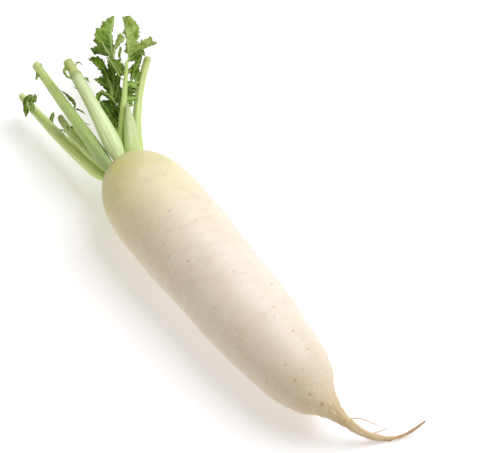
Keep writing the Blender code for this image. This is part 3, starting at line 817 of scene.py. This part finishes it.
def skin_relief(flat, distances, clocks, radii, height):
    """How far each skin point is pressed in, how brown a pit makes it and how stained it is."""
    field = {
        name: 0.5 + 0.5 * waves(flat * stretch, *sizes)
        for name, (stretch, *sizes) in SKIN_WAVES.items()
    }
    on_body = smooth_step(distances, *BODY_FROM)[:, None]
    on_tail = smooth_step(distances, *TAIL_FROM)[:, None]
    in_neck = (1 - smooth_step(distances, *NECK_UP_TO))[:, None]
    pits, brown = pit_field(distances, clocks, radii)
    radii = radii[:, None]
    body = sum(depth * field[name] for name, depth in BODY_RELIEF.items())
    tail = sum(depth * field[name] for name, depth in TAIL_RELIEF.items())
    inwards = smooth_step(height, 0.0, CLEAR_HEIGHT) * on_body * (1 - on_tail) * body
    inwards += on_tail * np.minimum(radii, TAIL_RELIEF_RADIUS) * tail
    inwards += in_neck * SCAR_DEPTH * field["scars"] * smooth_step(radii, 3.0, 14.0)
    inwards += PIT_DEPTH * pits * on_body * np.minimum(1.0, radii / 12.0)
    stain = in_neck * smooth_step(field["scars"], 0.35, 0.8)
    stain = stain + on_tail * 0.5 * smooth_step(field["knots"], 0.3, 0.8)
    return inwards, brown * on_body, stain


def make_root(material):
    distances, radii = root_rows()
    clocks = turns(ROOT_SIDES)
    axis = root_axis(distances)
    across, rise = -np.sin(clocks), np.cos(clocks)
    size = radii[:, None]
    flat = grid(distances[:, None], size * np.cos(clocks), size * np.sin(clocks))
    smooth = rings_along(axis, UPWARDS, across * size, rise * size)
    height = smooth[..., 2] - PRESSED_FLAT
    inwards, brown, stain = skin_relief(flat, distances, clocks, radii, height)
    size = size - inwards
    rings = rings_along(axis, UPWARDS, across * size, rise * size)
    rings[..., 2] = np.maximum(rings[..., 2], PRESSED_FLAT)
    along = flat[..., 0] / ROOT_LENGTH
    skin = {"straight": flat * MM, "along": along, "pit": brown, "stain": stain}
    root = add_tube("daikon_root", rings, material, skin)
    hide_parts("root")


def thin_tube(path, places, radii, reference, sink=0.0):
    """Rings of a round tube along a path, and its points with the path pulled straight."""
    angles = turns(THIN_SIDES)
    across, rise = radii[:, None] * np.cos(angles), radii[:, None] * np.sin(angles)
    rings = rings_along(path, reference, across, rise - sink)
    return rings, grid(places[:, None], across, rise) * MM


def make_rootlets(material):
    """Thread-like side roots of the tail, with the tail's colour."""
    for name, (line, start, end) in ROOTLETS.items():
        path, places = smooth_path(line, ROOTLET_SPACING)
        radii = start + (end - start) * places / places[-1]
        radii = radii * (1 + ROOTLET_LUMPS * waves(places[:, None], 1.5, 6.0, 6))
        rings, straight = thin_tube(path, places, radii, UPWARDS)
        even = np.ones((len(places), 1))
        skin = {part: value * even for part, value in ROOTLET_SKIN.items()}
        skin["straight"] = straight
        add_tube("daikon_" + name, rings, material, skin)


def root_material():
    material, tree, shader = new_material("daikon_skin")
    along = attribute(tree, "along")
    straight = attribute(tree, "straight", "Vector")
    base = ramp(tree, wandering(tree, along, straight, 45.0, 0.10), ROOT_COLOURS)
    field = {}
    for name, (stretch, scale, detail, roughness, levels, tint) in ROOT_TINTS.items():
        field[name] = noise(tree, straight, scale, detail, roughness, stretch)
        base = tinted(tree, base, field[name], *levels, tint)
    base = tinted(tree, base, attribute(tree, "pit"), 0.06, 0.8, 0.66, (196, 156, 100))
    # pale streaks around the body, which end before the tail
    pale = noise(tree, straight, 460.0, 2.0, stretch=(1.0, 0.26, 0.26))
    pale = product(
        tree, spread(tree, pale, 0.63, 0.74, 0.0, 0.42), spread(tree, along, 0.62, 0.70, 1.0, 0.0)
    )
    base = mixed(tree, pale, base, (250, 244, 234))
    # brown stains in the neck and on the tail
    stain = product(tree, attribute(tree, "stain"), noise(tree, straight, 260.0, 4.0))
    base = tinted(tree, base, stain, 0.15, 0.6, 0.75, (176, 140, 88))
    skin = None
    for name, (depth, strength) in ROOT_BUMPS.items():
        skin = bump(tree, field[name], depth, strength, skin)
    # fibres along the tail
    fibres = noise(tree, straight, 1500.0, 3.0, 0.6, (0.07, 1.0, 1.0))
    fibres = product(tree, fibres, spread(tree, along, 0.68, 0.80))
    fill(shader, {
        "Base Color": base, "Roughness": spread(tree, field["grain"], 0.3, 0.7, 0.40, 0.52),
        "Normal": bump(tree, fibres, 0.0006, 0.7, skin),
    })
    set_finish(shader, specular=0.5, subsurface=0.3, reach=0.004, tint=(1.0, 0.72, 0.45))
    return material


# ---- stalks ----
def stalk_line(crown, place, steps):
    """Where a stalk runs: its points from inside the crown to its cut end."""
    radius, clock, length, yaw, slope, _ = place
    angle = math.radians(clock)
    start = crown + np.array((0.0, radius * math.sin(angle), radius * math.cos(angle)))
    start = start - heading(yaw[0], slope[0]) * ROOTED
    return turning_line(start, length + ROOTED, yaw, slope, steps)


def stalk_radii(place, shares):
    stations = tuple(zip((0.0, SHEATH_AT, MIDDLE_AT, 1.0), place[5]))
    return smooth_values(stations, shares)


def stalk_section(sides):
    """Cross-section of a leaf stalk: round on its outer side, grooved on its inner side."""
    angles = turns(sides)
    across, up = np.cos(angles), STALK_DEPTH * np.sin(angles)
    groove = GROOVE_DEPTH * (1 - across ** 2) - 0.1 * up
    return angles, across, np.where(up < 0, up + groove, up)


def at_node(past):
    """Closeness to a node's ring and how far above the node, from distances past it."""
    return np.exp(-((past / NODE_RING) ** 2)), smooth_step(past, 0.0, NODE_STEP)


def make_stalk(name, place, crown, material):
    centre = stalk_line(crown, place, STALK_ROWS)
    shares = np.linspace(0.0, 1.0, STALK_ROWS + 1)
    radii = stalk_radii(place, shares)
    clock = math.radians(place[1])
    outwards = (0.0, math.sin(clock), math.cos(clock))
    length = place[2] + ROOTED
    angles, across, up = stalk_section(STALK_SIDES)
    tip_reach = CUT_ROUNDING * radii[-1]
    from_tip = np.clip((shares - 1) * length + tip_reach, 0.0, tip_reach) / tip_reach
    dome = np.sqrt(np.maximum(1 - from_tip ** CUT_ROUNDNESS, 0.0))
    radii = radii * (dome * (1 - CUT_FACE) + CUT_FACE)
    ring = above = np.zeros_like(shares)
    if name in NODES:
        past = (shares - NODES[name]) * length
        ring, above = at_node(past)
        swell = NODE_SWELL * np.exp(-((past / NODE_SWELL_REACH) ** 2))
        radii = radii * (1 + swell - NODE_NARROWS * above)
    places = grid((shares * length)[:, None], across * place[5][1], up * place[5][1])
    ribs = RIB_DEPTH * np.cos(RIBS * angles + 0.4)
    lumps = STALK_LUMPS * waves(places * (0.25, 1.0, 1.0), 5.0, 14.0)
    size = radii[:, None] * (1 - RIB_DEPTH + ribs + lumps)
    rings = rings_along(centre, outwards, across * size, up * size)
    skin = {
        "straight": places * MM, "along": shares[:, None], "edge": np.abs(across)[None] ** 4,
        "cut": smooth_step(from_tip, 0.55, 0.95)[:, None], "ring": ring[:, None],
        "above": above[:, None],
    }
    stalk = add_tube("daikon_" + name, rings, material, skin)
    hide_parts(name)


# a stem's colour at each of these shares of its length, then the colour of its edges and fibres
STALK_COLOUR_PLACES = (0.05, 0.35, 0.75, 0.97)
STALK_COLOURS = {
    # stalk_low and stalk_small are lighter than their own green: painted light that stands in for
    # fill light on their shaded side
    "stalk_low": (
        (222, 244, 153), (238, 250, 170), (223, 243, 158), (241, 249, 183), (167, 194, 99)),
    "stalk_small": (
        (193, 217, 122), (212, 235, 142), (207, 224, 140), (114, 125, 69), (144, 171, 78)),
    "stalk_dark": (
        (167, 194, 122), (199, 225, 141), (218, 240, 152), (228, 241, 164), (140, 169, 85)),
    "stalk_bright": (
        (220, 236, 172), (231, 249, 185), (217, 232, 175), (178, 192, 132), (158, 180, 109)),
    "stalk_rear": (
        (206, 222, 146), (214, 230, 148), (220, 234, 152), (212, 222, 140), (164, 186, 98)),
    "stalk_stub": (
        (202, 222, 150), (208, 224, 158), (200, 216, 150), (170, 182, 138), (158, 182, 102)),
    "front_leaf_midrib": (
        (187, 208, 111), (197, 218, 119), (193, 213, 122), (205, 222, 136), (148, 177, 81)),
    "blade_vein": (
        (166, 190, 96), (177, 201, 109), (188, 210, 119), (188, 210, 119), (144, 173, 75)),
    "left_leaf_midrib": (
        (149, 178, 81), (161, 190, 85), (173, 200, 97), (185, 209, 112), (125, 156, 62)),
}


def stalk_material(name):
    material, tree, shader = new_material("stem_" + name)
    *colours, edge = STALK_COLOURS[name]
    straight = attribute(tree, "straight", "Vector")
    place = wandering(tree, attribute(tree, "along"), straight, 60.0, 0.2)
    colour = ramp(tree, place, tuple(zip(STALK_COLOUR_PLACES, colours)))
    fibres = noise(tree, straight, 1300.0, 3.0, 0.6, (0.035, 1.0, 1.0))
    colour = tinted(tree, colour, fibres, 0.42, 0.7, 0.45, edge)
    colour = mixed(tree, product(tree, attribute(tree, "edge"), 0.35), colour, edge)
    fleck = noise(tree, straight, 700.0, 2.0)
    colour = tinted(tree, colour, fleck, 0.62, 0.75, 0.3, (214, 226, 168))
    lines = noise(tree, straight, 2600.0, 2.0, stretch=(0.02, 1.0, 1.0))
    colour = tinted(tree, colour, lines, 0.5, 0.68, 0.45, edge)
    pith = mixed(tree, spread(tree, fleck, 0.45, 0.65), (204, 208, 150), (168, 164, 104))
    for part, strength, tint in (
        ("above", 0.8, (186, 198, 112)), ("ring", 0.75, (150, 172, 84)), ("cut", 0.7, pith),
    ):
        colour = mixed(tree, product(tree, attribute(tree, part), strength), colour, tint)
    ridges = bump(tree, fibres, 0.0004, 0.6)
    fill(shader, {
        "Base Color": colour, "Roughness": spread(tree, fibres, 0.3, 0.7, 0.30, 0.44),
        "Normal": bump(tree, fleck, 0.0002, 0.3, ridges),
    })
    set_finish(shader, specular=0.6, subsurface=0.3, reach=0.0025, tint=(0.8, 1.0, 0.3))
    return material


# ---- leaf blades and scraps ----
def smooth_path(points, spacing):
    """Points at even spacing on a smooth curve through the given ones."""
    points = np.array(points, float)
    reach = np.concatenate(([0.0], np.cumsum(np.linalg.norm(np.diff(points, axis=0), axis=1))))
    places = np.linspace(0.0, reach[-1], max(10, int(reach[-1] / spacing)))
    stations = np.column_stack((reach, points))
    soft = np.stack([smooth_values(stations, places, column) for column in (1, 2, 3)], axis=-1)
    for _ in range(6):
        soft[1:-1] = (soft[:-2] + 2 * soft[1:-1] + soft[2:]) / 4
    return soft, places


def teeth(places, depth):
    """Depth of the notches along a margin; each tooth points towards the blade's tip."""
    notches = np.zeros_like(places)
    at = -rng.uniform(0.0, TOOTH_PITCH)
    while at < places[-1]:
        span = TOOTH_PITCH * rng.uniform(*TOOTH_SPANS)
        inside = (places >= at) & (places < at + span)
        slant = (1 - (places[inside] - at) / span) ** 0.8
        notches[inside] = depth * rng.uniform(*TOOTH_DEPTHS) * slant
        at += span
    return notches


def blade_half(places, width, depth, side):
    """Reach of each column of one half from the vein, and distances from its lateral veins."""
    shares = np.linspace(0.0, 1.0, BLADE_COLUMNS + 1)
    notches = np.minimum(teeth(places, depth), TOOTH_LIMIT * width)
    reach = np.maximum(width - notches, LEAST_HALF_WIDTH)[:, None] * shares[None] ** 0.9
    rise = math.radians(VEIN_RISE)
    count = (places[:, None] - reach / math.tan(rise)) / VEIN_PITCH + (0.5 if side > 0 else 0.0)
    from_vein = (np.abs((count + 0.5) % 1.0 - 0.5)) * VEIN_PITCH * math.sin(rise)
    return reach, shares, from_vein


def near(distances, reach):
    """1 at distance 0, falling off smoothly over the reach."""
    return np.exp(-(distances / reach) ** 2)


def blade_sheet(vein, widths, folds, ruffle, depth):
    """Grid of a blade's points with its vein attribute and its place in the leaf's own plane."""
    path, places = smooth_path(vein, BLADE_SPACING)
    rights, ups = frames_along(path, np.array(LEAF_FACING))
    twist = np.radians(BLADE_TWIST) * waves(places[:, None], 14.0, 40.0, 5)[:, None]
    twist *= min(1.0, ruffle)
    rights, ups = (
        rights * np.cos(twist) + ups * np.sin(twist), ups * np.cos(twist) - rights * np.sin(twist)
    )
    shares = places / places[-1]
    halves = []
    for side, column, fold in ((-1, 1, folds[0]), (1, 2, folds[1])):
        width = smooth_values(widths, shares, column)
        reach, across, from_vein = blade_half(places, width, depth, side)
        fold = math.radians(fold)
        opening = smooth_step(reach, 0.0, FLAT_NEAR_VEIN)
        towards_margin = 1 - 0.6 * across[None]
        bulge = QUILT * (1 - near(from_vein, QUILT_REACH)) * opening * towards_margin
        flat = grid(places[:, None], side * reach)
        crumple = waves(flat, *RUFFLE_WAVES) * (reach / 9.0 + 0.4 * across[None])
        lift = bulge + ruffle * crumple * opening
        out = side * reach * math.cos(fold) - side * lift * math.sin(fold)
        rise = reach * math.sin(fold) + lift * math.cos(fold)
        points = path[:, None] + rights[:, None] * out[..., None] + ups[:, None] * rise[..., None]
        lateral = LATERAL_SHADE * near(from_vein, LATERAL_REACH) * towards_margin
        halves.append((points, np.maximum(lateral, near(reach, MIDDLE_REACH)), flat))
    left, right = halves
    return [np.concatenate((a[:, :0:-1], b), axis=1) for a, b in zip(left, right)]


def make_blade(name, vein, widths, folds, ruffle, depth, material, vein_material=None):
    points, veins, flat = blade_sheet(vein, widths, folds, ruffle, depth)
    rows, columns, _ = points.shape
    flat3 = np.concatenate((flat, np.zeros((rows, columns, 1))), axis=-1).reshape(-1, 3)
    # each blade reads its own patch of the leaf material's noise
    flat3 += rng.uniform(0.0, 500.0, 3)
    blade = add_piece(
        "daikon_" + name, points.reshape(-1, 3), grid_faces(rows, columns), material,
        {
            "vein": veins.reshape(-1), "flat": flat3 * MM,
            "along": np.repeat(np.linspace(0.0, 1.0, rows), columns),
        },
    )
    solid = blade.modifiers.new("thickness", "SOLIDIFY")
    solid.thickness = LEAF_THICKNESS * MM
    solid.offset = 0.0
    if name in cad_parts:
        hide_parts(name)
    if vein_material is not None:
        make_vein(name, vein, vein_material)


def make_vein(name, vein, material):
    """The raised vein under a blade, thickest where it leaves the midrib."""
    path, places = smooth_path(vein, VEIN_SPACING)
    shares = places / places[-1]
    thickest = np.clip(places[-1] / VEIN_SLENDERNESS, *VEIN_HALF_WIDTH)
    radii = smooth_values(VEIN_WIDTHS, shares) * thickest
    rings, straight = thin_tube(path, places, radii, LEAF_FACING, VEIN_SINK)
    skin = {part: np.zeros((len(shares), 1)) for part in ("edge", "cut", "ring", "above")}
    skin |= {"straight": straight, "along": shares[:, None]}
    add_tube("daikon_" + name + "_vein", rings, material, skin)


def scrap_widths(half_widths):
    base, middle, tip = half_widths
    stations = ((0.0, base), (0.4, middle), (0.75, 0.7 * middle), (1.0, tip))
    return tuple((share, width, width) for share, width in stations)


# the leaf looks are lit and shaded copies of one material: their colours carry painted light and
# painted shade
def leaf_material(look):
    material, tree, shader = new_material("leaf_" + look)
    dark, light, veins = LEAF_LOOKS[look]
    flat = attribute(tree, "flat", "Vector")
    patches = noise(tree, flat, 130.0, 4.0, 0.6)
    colour = mixed(tree, spread(tree, patches, 0.32, 0.68), dark, light)
    # painted shade: the base of a blade darkens towards the darkest green of the deep look
    shade = spread(tree, attribute(tree, "along"), 0.2, 0.6, BASE_PAINTED_SHADE.get(look, 0.0), 0.0)
    colour = mixed(tree, shade, colour, LEAF_LOOKS["deep"][0])
    mottle = noise(tree, flat, 420.0, 3.0, 0.6)
    colour = tinted(tree, colour, mottle, 0.46, 0.66, 0.55, dark)
    cells = noise(tree, flat, 1300.0, 3.0, 0.6)
    colour = tinted(tree, colour, cells, 0.5, 0.72, 0.45, dark)
    vein = attribute(tree, "vein")
    colour = tinted(tree, colour, vein, 0.10, 0.8, 0.85, veins)
    grain = bump(tree, cells, 0.00025, 0.5)
    fill(shader, {
        "Base Color": colour, "Roughness": spread(tree, cells, 0.3, 0.7, 0.42, 0.58),
        "Normal": bump(tree, vein, 0.0003, 0.5, grain),
    })
    set_finish(shader, specular=0.35)
    # light that comes through the thin blade
    lit = {"Color": mixed(tree, 0.35, colour, (178, 206, 70)), "Normal": grain}
    through = add_node(tree, "BsdfTranslucent", lit).outputs[0]
    both = {"Fac": LEAF_TRANSLUCENCE, 1: shader.outputs[0], 2: through}
    both = add_node(tree, "MixShader", both).outputs[0]
    fill(tree.nodes["Material Output"], {"Surface": both})
    return material


# ---- stage ----
def make_floor():
    mesh = bpy.data.meshes.new("floor")
    half = FLOOR_SIZE / 2
    corners = [(-half, -half, 0.0), (half, -half, 0.0), (half, half, 0.0), (-half, half, 0.0)]
    mesh.from_pydata(corners, [], [(0, 1, 2, 3)])
    floor = bpy.data.objects.new("floor", mesh)
    bpy.context.scene.collection.objects.link(floor)
    material, tree, shader = new_material("floor_paper")
    grain = noise(tree, attribute(tree, "position", "Vector"), 4.0)
    fill(shader, {
        "Base Color": mixed(tree, grain, *FLOOR_GREYS), "Emission Color": (1.0, 1.0, 1.0, 1.0),
        "Emission Strength": FLOOR_GLOW, "Roughness": 0.9, "Specular IOR Level": 0.1,
    })
    mesh.materials.append(material)


def add_facing(data, back, distance, target=(0.0, 0.0, 0.0)):
    """A light or camera that looks at a target from a direction, at a distance."""
    item = bpy.data.objects.new(data.name, data)
    bpy.context.scene.collection.objects.link(item)
    item.location = (np.array(target) + back * distance).tolist()
    item.rotation_mode = "QUATERNION"
    item.rotation_quaternion = Vector(back.tolist()).to_track_quat("Z", "Y")
    return item


def make_light():
    world = bpy.data.worlds.new("studio")
    world.use_nodes = True
    sky = {"Color": (*STUDIO_COLOUR, 1.0), "Strength": STUDIO_STRENGTH}
    fill(world.node_tree.nodes["Background"], sky)
    bpy.context.scene.world = world
    light = bpy.data.lights.new("key", "AREA")
    light.shape = "SQUARE"
    light.size = KEY_SIZE
    light.energy = KEY_POWER
    light.color = KEY_COLOUR
    add_facing(light, unit(np.array(KEY_DIRECTION)), KEY_DISTANCE)


def make_camera():
    camera = bpy.data.cameras.new("camera")
    camera.lens = VIEW_LENS
    camera.sensor_width = 36.0
    camera.clip_start = 0.05
    camera.clip_end = 20.0
    turn, rise = math.radians(VIEW_AZIMUTH), math.radians(VIEW_ELEVATION)
    level = math.cos(rise)
    back = np.array((math.sin(turn) * level, -math.cos(turn) * level, math.sin(rise)))
    item = add_facing(camera, back, VIEW_DISTANCE, VIEW_TARGET)
    bpy.context.scene.camera = item


def set_view():
    settings = bpy.context.scene.view_settings
    settings.view_transform = "Standard"
    settings.look = "None"


make_camera()
make_light()
make_floor()
set_view()
SKIN = root_material()
make_root(SKIN)
make_rootlets(SKIN)
CROWN = root_axis([0.0])[0]
for stem, shape in (CUT_STALKS | MIDRIBS).items():
    make_stalk(stem, shape, CROWN, stalk_material(stem))
LEAF_MATERIALS = {look: leaf_material(look) for look in LEAF_LOOKS}
PALE_VEIN = stalk_material("blade_vein")
for leaf, (line, widths, *form, look) in BLADES.items():
    make_blade(leaf, line, widths, *form, LEAF_MATERIALS[look], PALE_VEIN)
for leaf, (line, widths, look) in TUFTS.items():
    make_blade(leaf, line, scrap_widths(widths), *TUFT_FORM, LEAF_MATERIALS[look], PALE_VEIN)
for leaf, (line, widths) in SCRAPS.items():
    look = SCRAP_LOOKS.get(leaf, "deep")
    make_blade(leaf, line, scrap_widths(widths), *SCRAP_FORM, LEAF_MATERIALS[look])
